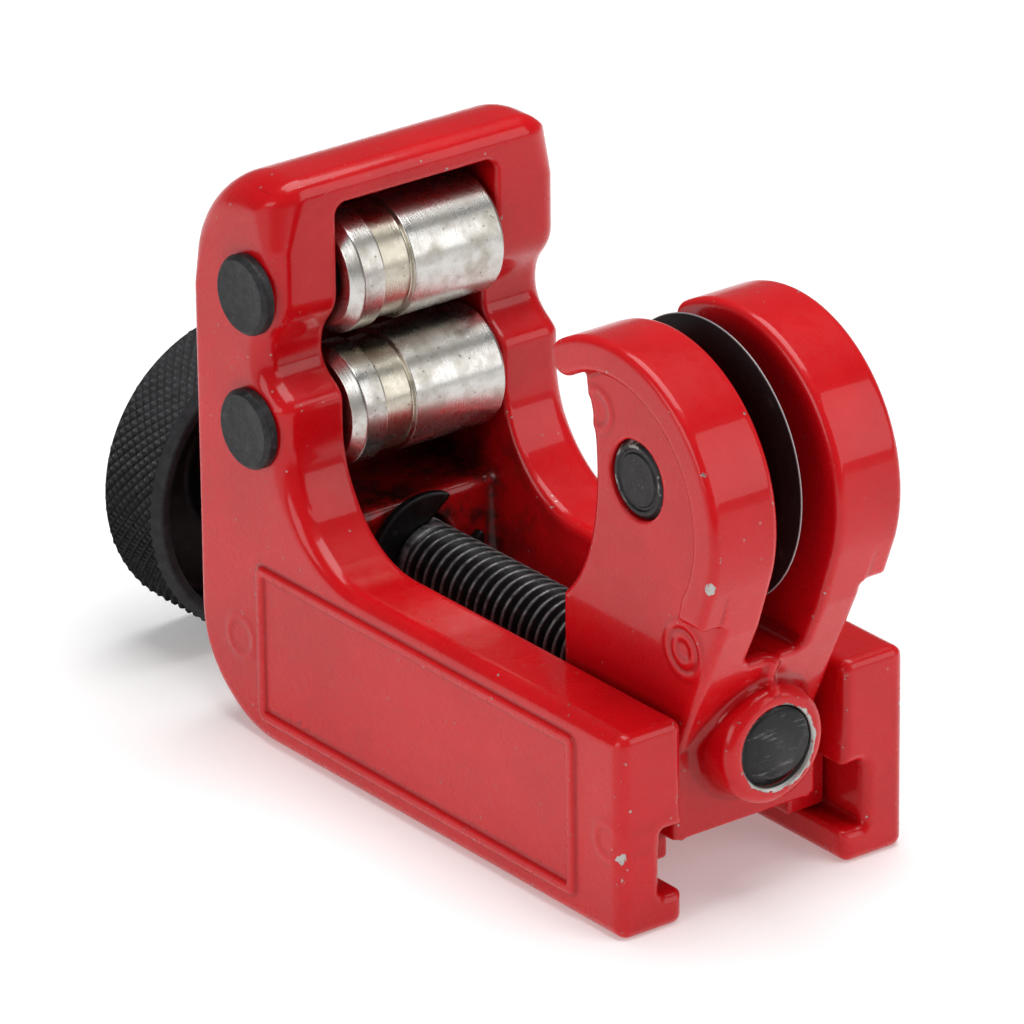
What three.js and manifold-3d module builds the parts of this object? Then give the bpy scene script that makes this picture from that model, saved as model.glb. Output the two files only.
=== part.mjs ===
// Mini pipe cutter: a C-shaped casting with two rollers, and a jaw with a cutting wheel on a feed screw.
// Millimetres. +X runs along the feed screw from the knob to the open end, +Y along the roller axes, +Z up.
// The origin is under the middle of the tool, on the plane that its base rails stand on.
import * as THREE from "three";
import { mergeVertices } from "three/addons/utils/BufferGeometryUtils.js";
import Module from "manifold-3d";

// Body casting
const BODY_WIDTH = 25;
const BODY_BACK = -20.4;
const RAIL_END = 28.5;
const RAIL_TOP = 15.3;
const ARM_TOP = 42.8;
const ARM_FRONT = -10.4;
const ARM_SIDE_CORNER = 3;
const CHANNEL_WIDTH = 14;
const GROOVE_BOTTOM = 2.4;
const GROOVE_TOP = 7.4;
const GROOVE_DEPTH = 1.9;
const END_WALL_FRONT = -11;
const END_WALL_TOP = 16.1;
const BACK_WALL = 1.8;
const WINDOW_TOP = 40.5;
const HEEL_RADIUS = 8.4;
const SHOULDER_RADIUS = 7.3;
const SWEEP_RADIUS = 8.6;
const LOWER_NOSE = 0.5; // how far the arm's lower nose stands in front of the upper one
const DIP_DEPTH = 1.9; // the hollow between the two noses
const BRIDGE_EDGE = 1.5;
const BORDER = { back: -13.2, front: 23.5, bottom: 1.7, top: 13.7, band: 0.7, height: 0.3 };

// Rollers and their pins
const ROLLER_X = -13.25;
const ROLLER_HEIGHTS = { lower: 24.2, upper: 34.4 };
const ROLLER_RADIUS = 4.5;
const ROLLER_LENGTH = 13.3;
const FLARE_GROOVE = { near: -4.1, far: -1.5, depth: 0.35 };
const PIN_RADIUS = 2;
const PIN_HEAD_RADIUS = 2.95;
const PIN_HEAD = 1;
const PIN_END = 0.1; // how far a roller pin stands out of the far wall

// Jaw casting
const JAW_BACK = 13.8;
const JAW_FRONT = 26.4;
const JAW_BOTTOM = 4.8;
const JAW_WIDTH = 12.6;
const CHEEK_WIDTH = 12.3;
const RIM_WIDTH = 16.4;
const RIM_BAND = 2.6;
const RIM_END = 23.1;
const CHEEK_CENTRE = [21.9, 29.55];
const CHEEK_RADIUS = 11.4;
const CHEEK_ARC = { start: -0.31, end: 2.12 };
const THROAT = { top: [-5.4, 6.2], waist: -4, foot: [-5.6, -6.6], base: -10.2 };
const NECK_FRONT = 31.3;
const NECK_TOP = 21.9;
const SLOT_WIDTH = 5.1;
const SLOT_FLOOR = 18.4;
const TONGUE = { back: 14.3, front: 24.5, bottom: 2.8, top: 7.1, reach: 8.6 };
const BOSS_RADIUS = 4.3;
const BOSS_FACE = 29.9;
const BOSS_CHAMFER = 1;

// Cutting wheel and its axle
const WHEEL_X = 22.25;
const WHEEL_HEIGHT = 30.55;
const WHEEL_RADIUS = 10.2;
const WHEEL_PLATE = 1.2;
const WHEEL_BEVEL = 1.6;
const WHEEL_HUB_RADIUS = 4.2;
const WHEEL_HUB_LENGTH = 4.5;
const AXLE_RADIUS = 2.8;
const AXLE_LENGTH = 12.1;

// Feed screw, knob and what holds them
const SCREW_HEIGHT = 11.65;
const SCREW_RADIUS = 2.95;
const SCREW_CHAMFER = 0.4;
const KNOB_BACK = -34.1;
const KNOB_WIDTH = 7.2;
const KNOB_RADIUS = 11.6;
const KNOB_RIM = 1.4;
const KNOB_WEB = 2;
const HUB_RADIUS = 5;
const CLIP_RADIUS = 5.1;
const CLIP_X = -10.15;
const CLIP_THICKNESS = 0.7;
const CLIP_GROOVE_RADIUS = 2.2;
const CLIP_TURN = 0.66; // its mouth looks up and away from the pin heads
const WASHER_RADIUS = 4.6;
const WASHER_THICKNESS = 0.8;
const CROSS_PIN_RADIUS = 1;

// Gaps between pieces
const RUNNING_GAP = 0.3;
const FACE_GAP = 0.1;
const PAST = 1; // how far a cutting tool runs past the face that it cuts

const red = { color: 0xc01c24, roughness: 0.3, metalness: 0 };
const black = { color: 0x26262a, roughness: 0.6, metalness: 0.4 };
const zinc = { color: 0xc4c2ba, roughness: 0.25, metalness: 1 };
const steel = { color: 0x1c1c1f, roughness: 0.4, metalness: 0.8 };

const wasm = await Module();
wasm.setup();

// A closed geometry as a solid that can be joined and cut.
function solid(geometry) {
  const bare = geometry.clone();
  bare.deleteAttribute("normal");
  bare.deleteAttribute("uv");
  const merged = mergeVertices(bare, 1e-4);
  const vertProperties = new Float32Array(merged.attributes.position.array);
  const triVerts = new Uint32Array(merged.index.array);
  return new wasm.Manifold(new wasm.Mesh({ numProp: 3, vertProperties, triVerts }));
}

function geometryOf(made) {
  const mesh = made.getMesh();
  const geometry = new THREE.BufferGeometry();
  geometry.setAttribute("position", new THREE.BufferAttribute(mesh.vertProperties, 3));
  geometry.setIndex(new THREE.BufferAttribute(mesh.triVerts, 1));
  geometry.computeVertexNormals();
  return geometry;
}

function piece(name, made, look) {
  const mesh = new THREE.Mesh(geometryOf(made), new THREE.MeshStandardMaterial(look));
  mesh.name = name;
  return mesh;
}

// A box from its lowest to its highest corner.
function box(low, high) {
  const size = high.map((value, i) => value - low[i]);
  const geometry = new THREE.BoxGeometry(...size);
  geometry.translate(low[0] + size[0] / 2, low[1] + size[1] / 2, low[2] + size[2] / 2);
  return solid(geometry);
}

// An outline drawn in X and Z, extruded along Y from one face to the other.
function plate(outline, near, far, curveSegments = 12) {
  const depth = far - near;
  const geometry = new THREE.ExtrudeGeometry(outline, { depth, bevelEnabled: false, curveSegments });
  geometry.rotateX(Math.PI / 2);
  geometry.translate(0, far, 0);
  return solid(geometry);
}

// A turned shape about a line along Y: its profile is [radius, y] pairs from low y to high y.
function turnedY(profile, x, z, segments = 48) {
  const points = profile.map(([radius, y]) => new THREE.Vector2(radius, y));
  const geometry = new THREE.LatheGeometry(points, segments);
  geometry.translate(x, 0, z);
  return solid(geometry);
}

// A turned shape about the screw axis: its profile is [radius, x] pairs from low x to high x.
function turnedX(profile, segments = 48) {
  const points = profile.map(([radius, x]) => new THREE.Vector2(radius, x));
  const geometry = new THREE.LatheGeometry(points, segments);
  geometry.rotateZ(-Math.PI / 2);
  geometry.translate(0, 0, SCREW_HEIGHT);
  return solid(geometry);
}

function rodY(radius, near, far, x, z, segments) {
  return turnedY([[0, near], [radius, near], [radius, far], [0, far]], x, z, segments);
}

function rodX(radius, back, front, segments) {
  return turnedX([[0, back], [radius, back], [radius, front], [0, front]], segments);
}

// The casting from the side: rails along the bottom, and an arm that rises over a deep sweep.
function bodyOutline() {
  const outline = new THREE.Shape();
  const nose = ARM_FRONT + LOWER_NOSE;
  const sweep = { x: nose + SWEEP_RADIUS, z: RAIL_TOP + SWEEP_RADIUS };
  const dip = { x: ARM_FRONT - DIP_DEPTH, z: (ROLLER_HEIGHTS.lower + ROLLER_HEIGHTS.upper) / 2 };
  const shoulder = { x: BODY_BACK + SHOULDER_RADIUS, z: ARM_TOP - SHOULDER_RADIUS };
  const quarter = Math.PI / 2;
  outline.moveTo(BODY_BACK + HEEL_RADIUS, 0);
  outline.lineTo(RAIL_END, 0);
  outline.lineTo(RAIL_END, RAIL_TOP);
  outline.lineTo(sweep.x, RAIL_TOP);
  outline.absarc(sweep.x, sweep.z, SWEEP_RADIUS, -quarter, -2 * quarter, true);
  outline.lineTo(nose, sweep.z + 2);
  outline.bezierCurveTo(nose, dip.z - 2, dip.x, dip.z - 2, dip.x, dip.z);
  outline.bezierCurveTo(dip.x, dip.z + 2.5, ARM_FRONT, dip.z + 2.5, ARM_FRONT, dip.z + 4.8);
  outline.lineTo(ARM_FRONT, ARM_TOP - BRIDGE_EDGE);
  outline.absarc(ARM_FRONT - BRIDGE_EDGE, ARM_TOP - BRIDGE_EDGE, BRIDGE_EDGE, 0, quarter);
  outline.lineTo(shoulder.x, ARM_TOP);
  outline.absarc(shoulder.x, shoulder.z, SHOULDER_RADIUS, quarter, 2 * quarter);
  outline.lineTo(BODY_BACK, HEEL_RADIUS);
  outline.absarc(BODY_BACK + HEEL_RADIUS, HEEL_RADIUS, HEEL_RADIUS, 2 * quarter, 3 * quarter);
  return outline;
}

// The casting from the open end: an upright rectangle with rounded top corners.
function endOutline() {
  const half = BODY_WIDTH / 2;
  const outline = new THREE.Shape();
  outline.moveTo(-half, -PAST);
  outline.lineTo(half, -PAST);
  outline.lineTo(half, ARM_TOP - ARM_SIDE_CORNER);
  outline.absarc(half - ARM_SIDE_CORNER, ARM_TOP - ARM_SIDE_CORNER, ARM_SIDE_CORNER, 0, Math.PI / 2);
  outline.lineTo(ARM_SIDE_CORNER - half, ARM_TOP);
  outline.absarc(ARM_SIDE_CORNER - half, ARM_TOP - ARM_SIDE_CORNER, ARM_SIDE_CORNER, Math.PI / 2, Math.PI);
  return outline;
}

function endEnvelope() {
  const depth = RAIL_END - BODY_BACK + 2 * PAST;
  const geometry = new THREE.ExtrudeGeometry(endOutline(), { depth, bevelEnabled: false, curveSegments: 6 });
  const across = new THREE.Vector3(0, 1, 0);
  const up = new THREE.Vector3(0, 0, 1);
  const along = new THREE.Vector3(1, 0, 0);
  geometry.applyMatrix4(new THREE.Matrix4().makeBasis(across, up, along));
  geometry.translate(BODY_BACK - PAST, 0, 0);
  return solid(geometry);
}

// A raised rectangular border on the near side of the base.
function sideBorder() {
  const face = -BODY_WIDTH / 2;
  const { back, front, bottom, top, band, height } = BORDER;
  const outer = box([back, face - height, bottom], [front, face + PAST, top]);
  const inner = box([back + band, face - PAST, bottom + band], [front - band, face + PAST * 2, top - band]);
  return outer.subtract(inner);
}

// The window behind the rollers from the side. Its back corner keeps the wall's thickness under the shoulder.
function windowOutline() {
  const back = BODY_BACK + BACK_WALL;
  const radius = SHOULDER_RADIUS - BACK_WALL;
  const centre = { x: back + radius, z: ARM_TOP - SHOULDER_RADIUS };
  const turn = Math.asin((WINDOW_TOP - centre.z) / radius);
  const outline = new THREE.Shape();
  outline.moveTo(back, END_WALL_TOP);
  outline.lineTo(ARM_FRONT + PAST, END_WALL_TOP);
  outline.lineTo(ARM_FRONT + PAST, WINDOW_TOP);
  outline.absarc(centre.x, centre.z, radius, Math.PI - turn, Math.PI);
  return outline;
}

function bodyCasting() {
  const half = BODY_WIDTH / 2;
  const inner = CHANNEL_WIDTH / 2;
  const groove = inner + GROOVE_DEPTH;
  let made = plate(bodyOutline(), -half, half).intersect(endEnvelope());
  made = made.add(sideBorder());
  const cuts = [
    box([END_WALL_FRONT, -inner, -PAST], [RAIL_END + PAST, inner, WINDOW_TOP]),
    plate(windowOutline(), -inner, inner),
    box([END_WALL_FRONT, -groove, GROOVE_BOTTOM], [RAIL_END + PAST, groove, GROOVE_TOP]),
    rodX(SCREW_RADIUS + RUNNING_GAP, BODY_BACK - PAST, END_WALL_FRONT + PAST, 32),
    ...Object.values(ROLLER_HEIGHTS).map((z) =>
      rodY(PIN_RADIUS + RUNNING_GAP, -half - PAST, half + PAST, ROLLER_X, z, 32)),
  ];
  for (const cut of cuts) {
    made = made.subtract(cut);
  }
  return made;
}

function roller(z) {
  const half = ROLLER_LENGTH / 2;
  const bore = PIN_RADIUS + RUNNING_GAP;
  const grooved = ROLLER_RADIUS - FLARE_GROOVE.depth;
  const profile = [
    [bore, -half],
    [ROLLER_RADIUS - 0.7, -half],
    [ROLLER_RADIUS, -half + 0.7],
    [ROLLER_RADIUS, FLARE_GROOVE.near],
    [grooved, FLARE_GROOVE.near],
    [grooved, FLARE_GROOVE.far],
    [ROLLER_RADIUS, FLARE_GROOVE.far],
    [ROLLER_RADIUS, half - 0.4],
    [ROLLER_RADIUS - 0.4, half],
    [bore, half],
    [bore, -half],
  ];
  return turnedY(profile, ROLLER_X, z, 40);
}

function rollerPin(z) {
  const half = BODY_WIDTH / 2;
  const profile = [
    [0, -half - PIN_HEAD],
    [PIN_HEAD_RADIUS - 0.2, -half - PIN_HEAD],
    [PIN_HEAD_RADIUS, -half - PIN_HEAD + 0.2],
    [PIN_HEAD_RADIUS, -half - FACE_GAP],
    [PIN_RADIUS, -half - FACE_GAP],
    [PIN_RADIUS, half + PIN_END],
    [0, half + PIN_END],
  ];
  return turnedY(profile, ROLLER_X, z, 32);
}

// The middle of the jaw from the side: base, neck, and cheeks that curve back over the cutting wheel.
function cheekOutline() {
  const [x, z] = CHEEK_CENTRE;
  const { top, waist, foot, base } = THROAT;
  const outline = new THREE.Shape();
  outline.moveTo(JAW_BACK, JAW_BOTTOM);
  outline.lineTo(JAW_FRONT, JAW_BOTTOM);
  outline.lineTo(JAW_FRONT, SCREW_HEIGHT);
  outline.lineTo(NECK_FRONT, NECK_TOP);
  outline.absarc(x, z, CHEEK_RADIUS, CHEEK_ARC.start, CHEEK_ARC.end);
  outline.lineTo(x + top[0], z + top[1]);
  outline.bezierCurveTo(x + waist, z - waist * 0.75, x + waist, z + waist * 0.75, x + foot[0], z + foot[1]);
  outline.quadraticCurveTo(x + foot[0] - 1, z + base + 1.3, JAW_BACK, z + base);
  return outline;
}

// A cheek's raised rim: a band round the outside that ends in a round tip over the wheel.
function rimOutline() {
  const [x, z] = CHEEK_CENTRE;
  const inner = CHEEK_RADIUS - RIM_BAND;
  const tip = inner + RIM_BAND / 2;
  const outline = new THREE.Shape();
  outline.moveTo(x + inner * 0.8, RIM_END);
  outline.lineTo(NECK_FRONT + 0.5, RIM_END);
  outline.absarc(x, z, CHEEK_RADIUS, CHEEK_ARC.start, CHEEK_ARC.end);
  const tipX = x + Math.cos(CHEEK_ARC.end) * tip;
  const tipZ = z + Math.sin(CHEEK_ARC.end) * tip;
  outline.absarc(tipX, tipZ, RIM_BAND / 2, CHEEK_ARC.end, CHEEK_ARC.end + Math.PI);
  outline.absarc(x, z, inner, CHEEK_ARC.end, -0.55, true);
  return outline;
}

function jawBoss() {
  const start = JAW_FRONT - 2;
  const profile = [
    [0, start],
    [BOSS_RADIUS, start],
    [BOSS_RADIUS, BOSS_FACE - BOSS_CHAMFER],
    [BOSS_RADIUS - BOSS_CHAMFER * 0.7, BOSS_FACE],
    [0, BOSS_FACE],
  ];
  return turnedX(profile, 40);
}

// The base is as wide as the channel, and higher up the cheeks are slimmer.
function jawCasting() {
  const [, z] = CHEEK_CENTRE;
  const topOfAll = z + CHEEK_RADIUS + PAST;
  const base = box([JAW_BACK, -JAW_WIDTH / 2, JAW_BOTTOM], [JAW_FRONT, JAW_WIDTH / 2, RAIL_TOP - 2.3]);
  const tongues = box(
    [TONGUE.back, -TONGUE.reach, TONGUE.bottom],
    [TONGUE.front, TONGUE.reach, TONGUE.top],
  );
  let made = plate(cheekOutline(), -CHEEK_WIDTH / 2, CHEEK_WIDTH / 2, 20);
  made = made.add(plate(rimOutline(), -RIM_WIDTH / 2, RIM_WIDTH / 2, 20));
  made = made.add(base).add(tongues).add(jawBoss());
  const underside = box(
    [TONGUE.back - PAST, -JAW_WIDTH / 2 + 1, -PAST],
    [TONGUE.front + PAST, JAW_WIDTH / 2 - 1, JAW_BOTTOM],
  );
  const slot = box([0, -SLOT_WIDTH / 2, SLOT_FLOOR], [RAIL_END * 2, SLOT_WIDTH / 2, topOfAll]);
  made = made.subtract(underside).subtract(slot);
  made = made.subtract(rodX(SCREW_RADIUS + RUNNING_GAP, JAW_BACK - PAST, BOSS_FACE + PAST, 32));
  return made.subtract(rodY(AXLE_RADIUS + RUNNING_GAP, -RIM_WIDTH, RIM_WIDTH, WHEEL_X, WHEEL_HEIGHT, 32));
}

function cuttingWheel() {
  const bore = AXLE_RADIUS + RUNNING_GAP;
  const half = WHEEL_PLATE / 2;
  const hub = WHEEL_HUB_LENGTH / 2;
  const profile = [
    [bore, -hub],
    [WHEEL_HUB_RADIUS, -hub],
    [WHEEL_HUB_RADIUS, -half],
    [WHEEL_RADIUS - WHEEL_BEVEL, -half],
    [WHEEL_RADIUS, -0.05],
    [WHEEL_RADIUS, 0.05],
    [WHEEL_RADIUS - WHEEL_BEVEL, half],
    [WHEEL_HUB_RADIUS, half],
    [WHEEL_HUB_RADIUS, hub],
    [bore, hub],
    [bore, -hub],
  ];
  return turnedY(profile, WHEEL_X, WHEEL_HEIGHT, 64);
}

function wheelAxle() {
  const half = AXLE_LENGTH / 2;
  const edge = 0.3;
  const profile = [
    [0, -half],
    [AXLE_RADIUS - edge, -half],
    [AXLE_RADIUS, -half + edge],
    [AXLE_RADIUS, half - edge],
    [AXLE_RADIUS - edge, half],
    [0, half],
  ];
  return turnedY(profile, WHEEL_X, WHEEL_HEIGHT, 32);
}

// The thread's crests set the screw's radius, and a groove holds the clip.
function feedScrew() {
  const clipBack = CLIP_X - CLIP_THICKNESS / 2 - FACE_GAP;
  const clipFront = CLIP_X + CLIP_THICKNESS / 2 + FACE_GAP;
  const back = KNOB_BACK + FACE_GAP;
  const profile = [
    [0, back],
    [SCREW_RADIUS, back],
    [SCREW_RADIUS, clipBack],
    [CLIP_GROOVE_RADIUS, clipBack],
    [CLIP_GROOVE_RADIUS, clipFront],
    [SCREW_RADIUS, clipFront],
    [SCREW_RADIUS, BOSS_FACE - SCREW_CHAMFER],
    [SCREW_RADIUS - SCREW_CHAMFER, BOSS_FACE],
    [0, BOSS_FACE],
  ];
  return turnedX(profile, 40).subtract(crossPinHole());
}

function hubFront() {
  return BODY_BACK - 2 * FACE_GAP - WASHER_THICKNESS - FACE_GAP;
}

function crossPinX() {
  return (KNOB_BACK + KNOB_WIDTH + hubFront()) / 2;
}

function crossPinHole() {
  const reach = HUB_RADIUS + PAST;
  return rodY(CROSS_PIN_RADIUS + FACE_GAP, -reach, reach, crossPinX(), SCREW_HEIGHT, 20);
}

// A cup with its hollow towards the casting, and a hub that reaches the thrust washer.
function knob() {
  const rimFront = KNOB_BACK + KNOB_WIDTH;
  const profile = [
    [SCREW_RADIUS + RUNNING_GAP, KNOB_BACK],
    [KNOB_RADIUS - 0.5, KNOB_BACK],
    [KNOB_RADIUS, KNOB_BACK + 0.5],
    [KNOB_RADIUS, rimFront - 0.4],
    [KNOB_RADIUS - 0.4, rimFront],
    [KNOB_RADIUS - KNOB_RIM, rimFront],
    [KNOB_RADIUS - KNOB_RIM, KNOB_BACK + KNOB_WEB],
    [HUB_RADIUS, KNOB_BACK + KNOB_WEB],
    [HUB_RADIUS, hubFront()],
    [SCREW_RADIUS + RUNNING_GAP, hubFront()],
    [SCREW_RADIUS + RUNNING_GAP, KNOB_BACK],
  ];
  return turnedX(profile, 64).subtract(crossPinHole());
}

function knobCrossPin() {
  return rodY(CROSS_PIN_RADIUS, -HUB_RADIUS, HUB_RADIUS, crossPinX(), SCREW_HEIGHT, 20);
}

// A flat ring on the screw: its bore radius, outer radius and faces along X.
function flatRing(bore, outer, back, front) {
  return turnedX([[bore, back], [outer, back], [outer, front], [bore, front], [bore, back]], 40);
}

function thrustWasher() {
  const front = BODY_BACK - FACE_GAP;
  return flatRing(SCREW_RADIUS + RUNNING_GAP, WASHER_RADIUS, front - WASHER_THICKNESS, front);
}

// An open ring that snaps into the groove from the side.
function retainingClip() {
  const back = CLIP_X - CLIP_THICKNESS / 2;
  const front = CLIP_X + CLIP_THICKNESS / 2;
  const bore = CLIP_GROOVE_RADIUS + FACE_GAP;
  const mouth = new THREE.BoxGeometry(CLIP_THICKNESS + 2 * PAST, CLIP_RADIUS + PAST, 2 * bore);
  mouth.translate(CLIP_X, (CLIP_RADIUS + PAST) / 2, 0);
  mouth.rotateX(CLIP_TURN);
  mouth.translate(0, 0, SCREW_HEIGHT);
  return flatRing(bore, CLIP_RADIUS, back, front).subtract(solid(mouth));
}

const group = new THREE.Group();
group.add(piece("body_casting", bodyCasting(), red));
for (const [place, z] of Object.entries(ROLLER_HEIGHTS)) {
  group.add(piece(place + "_roller", roller(z), zinc));
  group.add(piece(place + "_roller_pin", rollerPin(z), black));
}
group.add(piece("jaw_casting", jawCasting(), red));
group.add(piece("cutting_wheel", cuttingWheel(), steel));
group.add(piece("wheel_axle_pin", wheelAxle(), black));
group.add(piece("feed_screw", feedScrew(), steel));
group.add(piece("knob", knob(), black));
group.add(piece("knob_cross_pin", knobCrossPin(), steel));
group.add(piece("thrust_washer", thrustWasher(), steel));
group.add(piece("retaining_clip", retainingClip(), steel));

export default group;
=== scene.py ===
"""Mini pipe cutter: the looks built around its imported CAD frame.

Shapes are worked out in millimetres, and become objects in metres.
"""
import math
import bpy
import numpy as np
from mathutils import Matrix, Vector


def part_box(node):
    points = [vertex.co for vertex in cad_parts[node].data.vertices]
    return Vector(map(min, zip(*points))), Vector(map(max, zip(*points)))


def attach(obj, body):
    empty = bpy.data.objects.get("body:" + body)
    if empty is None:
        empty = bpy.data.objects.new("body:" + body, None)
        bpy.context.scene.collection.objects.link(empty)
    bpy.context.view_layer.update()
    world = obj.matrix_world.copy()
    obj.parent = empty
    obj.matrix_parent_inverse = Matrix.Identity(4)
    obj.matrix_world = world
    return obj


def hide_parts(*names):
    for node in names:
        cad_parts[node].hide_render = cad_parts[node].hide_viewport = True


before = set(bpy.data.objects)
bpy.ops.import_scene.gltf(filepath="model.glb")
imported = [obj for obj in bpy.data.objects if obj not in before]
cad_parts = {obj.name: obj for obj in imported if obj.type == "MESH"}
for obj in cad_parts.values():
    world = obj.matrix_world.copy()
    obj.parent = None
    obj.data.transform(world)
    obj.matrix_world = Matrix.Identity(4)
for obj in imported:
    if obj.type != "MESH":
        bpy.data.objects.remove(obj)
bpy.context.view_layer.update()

MM = 0.001
QUARTER = math.pi / 2

# Camera
AZIMUTH, ELEVATION, ROLL = 52.94, 23.92, -0.64
CAMERA_DISTANCE = 0.6449
CAMERA_LENS = 323.4
AIM = Vector((0.00041, -0.00018, 0.01902))


def make_camera():
    a, e, roll = (math.radians(v) for v in (AZIMUTH, ELEVATION, ROLL))
    back = Vector((math.sin(a) * math.cos(e), -math.cos(a) * math.cos(e), math.sin(e)))
    level = Vector((0, 0, 1)).cross(back).normalized()
    upright = back.cross(level)
    right = math.cos(roll) * level + math.sin(roll) * upright
    up = back.cross(right)
    data = bpy.data.cameras.new("camera")
    data.lens = CAMERA_LENS
    camera = bpy.data.objects.new("camera", data)
    turn = Matrix((right, up, back)).transposed().to_4x4()
    camera.matrix_world = Matrix.Translation(AIM + back * CAMERA_DISTANCE) @ turn
    bpy.context.scene.collection.objects.link(camera)
    bpy.context.scene.camera = camera


make_camera()


def span(node):
    """A CAD node's lowest and highest corner in millimetres."""
    low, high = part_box(node)
    return np.array(low) / MM, np.array(high) / MM


# ---------------------------------------------------------------------------------------------
# Distance fields: negative inside a shape, positive outside
# ---------------------------------------------------------------------------------------------


def slab(coordinate, low, high):
    return np.maximum(low - coordinate, coordinate - high)


def common(a, b, radius=0.0):
    """What two shapes share, with the new edge rounded."""
    over_a = np.maximum(a + radius, 0)
    over_b = np.maximum(b + radius, 0)
    return np.minimum(-radius, np.maximum(a, b)) + np.sqrt(over_a * over_a + over_b * over_b)


def joined(a, b, radius=0.0):
    """Two shapes as one, with a fillet between them."""
    return -common(-a, -b, radius)


def without(a, b, radius=0.0):
    """The first shape with the second cut out, and the new edge rounded."""
    return common(a, -b, radius)


def block(x, y, z, low, high, radius):
    flat = common(slab(x, low[0], high[0]), slab(y, low[1], high[1]), radius)
    return common(flat, slab(z, low[2], high[2]), radius)


def rod(u, v, centre, radius):
    return np.hypot(u - centre[0], v - centre[1]) - radius


def ridge(distance, width, height):
    """A low raised line along a curve, as a height that fades to nothing on both sides."""
    return height * np.exp(-(distance / width) ** 2)


def arc(centre, radius, start, end, steps=48):
    turn = np.linspace(start, end, steps)
    return np.stack([centre[0] + radius * np.cos(turn), centre[1] + radius * np.sin(turn)], 1)


def bezier(points, steps=40):
    t = np.linspace(0, 1, steps)[:, None]
    rest = [np.array(p, float) for p in points]
    while len(rest) > 1:
        rest = [a * (1 - t) + b * t for a, b in zip(rest, rest[1:])]
    return rest[0]


def outline_field(parts, cell=0.1, margin=4.0):
    """The signed distance to a closed outline, worked out once on a grid and then looked up."""
    points = np.vstack([np.atleast_2d(np.array(p, float)) for p in parts])
    low = points.min(0) - margin
    count = np.ceil((points.max(0) + margin - low) / cell).astype(int) + 1
    u = (low[0] + cell * np.arange(count[0]))[:, None]
    v = (low[1] + cell * np.arange(count[1]))[None, :]
    nearest = np.full(count, np.inf)
    crossed = np.zeros(count, bool)
    for a, b in zip(points, np.roll(points, -1, 0)):
        edge = b - a
        length = edge @ edge
        if length < 1e-12:
            continue
        share = np.clip(((u - a[0]) * edge[0] + (v - a[1]) * edge[1]) / length, 0, 1)
        away = (u - a[0] - share * edge[0]) ** 2 + (v - a[1] - share * edge[1]) ** 2
        nearest = np.minimum(nearest, away)
        if a[1] != b[1]:
            spans = (a[1] > v) != (b[1] > v)
            crossed ^= spans & (u < a[0] + (v - a[1]) * edge[0] / edge[1])
    table = np.where(crossed, -1, 1) * np.sqrt(nearest)

    def look_up(x, z):
        x, z = np.broadcast_arrays(x, z)
        s = np.clip((x - low[0]) / cell, 0, count[0] - 1.001)
        t = np.clip((z - low[1]) / cell, 0, count[1] - 1.001)
        i, j = s.astype(int), t.astype(int)
        s, t = s - i, t - j
        near = table[i, j] * (1 - t) + table[i, j + 1] * t
        far = table[i + 1, j] * (1 - t) + table[i + 1, j + 1] * t
        return near * (1 - s) + far * s

    return look_up


# ---------------------------------------------------------------------------------------------
# From a field to a mesh
# ---------------------------------------------------------------------------------------------

TETRAHEDRON = np.array([[1, -1, -1], [-1, -1, 1], [-1, 1, -1], [1, 1, 1]], float)


def probe(field, points, reach=0.06):
    """The distance, unit normal and curvature (1/mm, positive on an outer edge) at each point."""
    here = field(*points.T)
    normal = np.zeros_like(points)
    total = -4 * here
    for way in TETRAHEDRON:
        value = field(*(points + reach * way).T)
        normal += value[:, None] * way
        total += value
    length = np.linalg.norm(normal, axis=1)
    slope = np.maximum(length / (4 * reach), 0.3)
    curvature = total / (2 * reach * reach)
    return here / slope, normal / np.maximum(length, 1e-9)[:, None], curvature


def settle(field, points, faces, rounds=3):
    """Moves the points onto the surface, and evens out their spacing along it."""
    sides = faces.shape[1]
    edges = np.vstack([faces[:, [i, (i + 1) % sides]] for i in range(sides)])
    count = np.maximum(np.bincount(edges[:, 0], minlength=len(points)), 1)[:, None]
    for turn in range(rounds):
        distance, normal, _ = probe(field, points)
        points = points - distance[:, None] * normal
        if turn < rounds - 1:
            ends = points[edges[:, 1]].T
            total = np.stack([np.bincount(edges[:, 0], end, len(points)) for end in ends], 1)
            drift = total / count - points
            drift -= (drift * normal).sum(1, keepdims=True) * normal
            points = points + 0.5 * drift
    return points


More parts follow.
